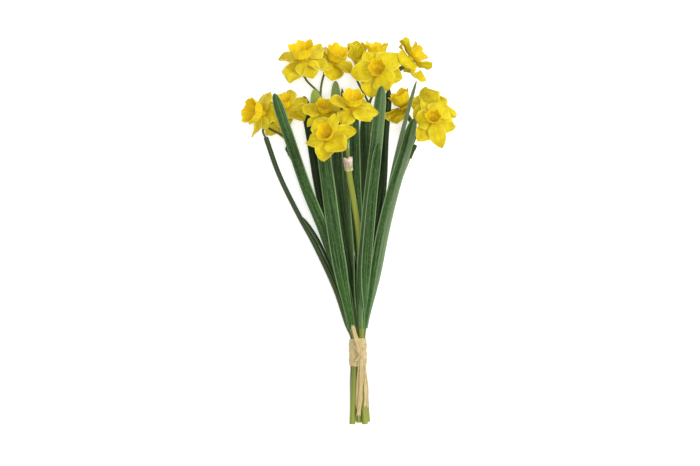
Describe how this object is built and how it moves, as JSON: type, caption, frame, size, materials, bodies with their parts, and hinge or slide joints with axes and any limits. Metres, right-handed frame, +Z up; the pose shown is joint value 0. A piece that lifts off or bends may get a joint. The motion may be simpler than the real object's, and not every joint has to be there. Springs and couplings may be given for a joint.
{
  "type": "daffodil bunch",
  "caption": "Cut bunch of many-headed yellow daffodils with strap leaves, tied with raffia and lying on its side.",
  "frame": {"origin": "centre of the underside of the lying bunch's bounding box, on the surface it lies on", "axes": "+Y from the cut ends to the blooms, +Z up from the surface, +X to the right with the blooms away from the viewer"},
  "size_m": [0.2166, 0.389, 0.1225],
  "materials": {
    "petal": "soft, slightly translucent yellow petal",
    "corona": "soft golden cup",
    "leaf": "waxy green leaf with lengthwise veins",
    "stem": "smooth yellow-green stem",
    "spathe": "dry papery sheath",
    "raffia": "dry fibrous straw"
  },
  "bodies": {
    "root": {"stem_a": "stem", "spathe_a": "spathe", "stem_b": "stem", "spathe_b": "spathe", "stem_c": "stem", "stem_d": "stem", "spathe_d": "spathe", "stem_e": "stem", "spathe_e": "spathe", "stem_f": "stem", "spathe_f": "spathe", "leaf_01": "leaf", "leaf_02": "leaf", "leaf_03": "leaf", "leaf_04": "leaf", "leaf_05": "leaf", "leaf_06": "leaf", "leaf_07": "leaf", "leaf_08": "leaf", "leaf_09": "leaf", "leaf_10": "leaf", "leaf_11": "leaf", "leaf_12": "leaf", "leaf_13": "leaf", "perianth_01": "petal", "corona_01": "corona", "perianth_02": "petal", "corona_02": "corona", "perianth_03": "petal", "corona_03": "corona", "perianth_04": "petal", "corona_04": "corona", "perianth_05": "petal", "corona_05": "corona", "perianth_06": "petal", "corona_06": "corona", "perianth_07": "petal", "corona_07": "corona", "perianth_08": "petal", "corona_08": "corona", "perianth_09": "petal", "corona_09": "corona", "perianth_10": "petal", "corona_10": "corona", "perianth_11": "petal", "corona_11": "corona", "perianth_12": "petal", "corona_12": "corona", "perianth_13": "petal", "corona_13": "corona", "perianth_14": "petal", "corona_14": "corona", "perianth_15": "petal", "corona_15": "corona", "raffia_wrap": "raffia", "raffia_knot": "raffia"}
  },
  "joints": []
}
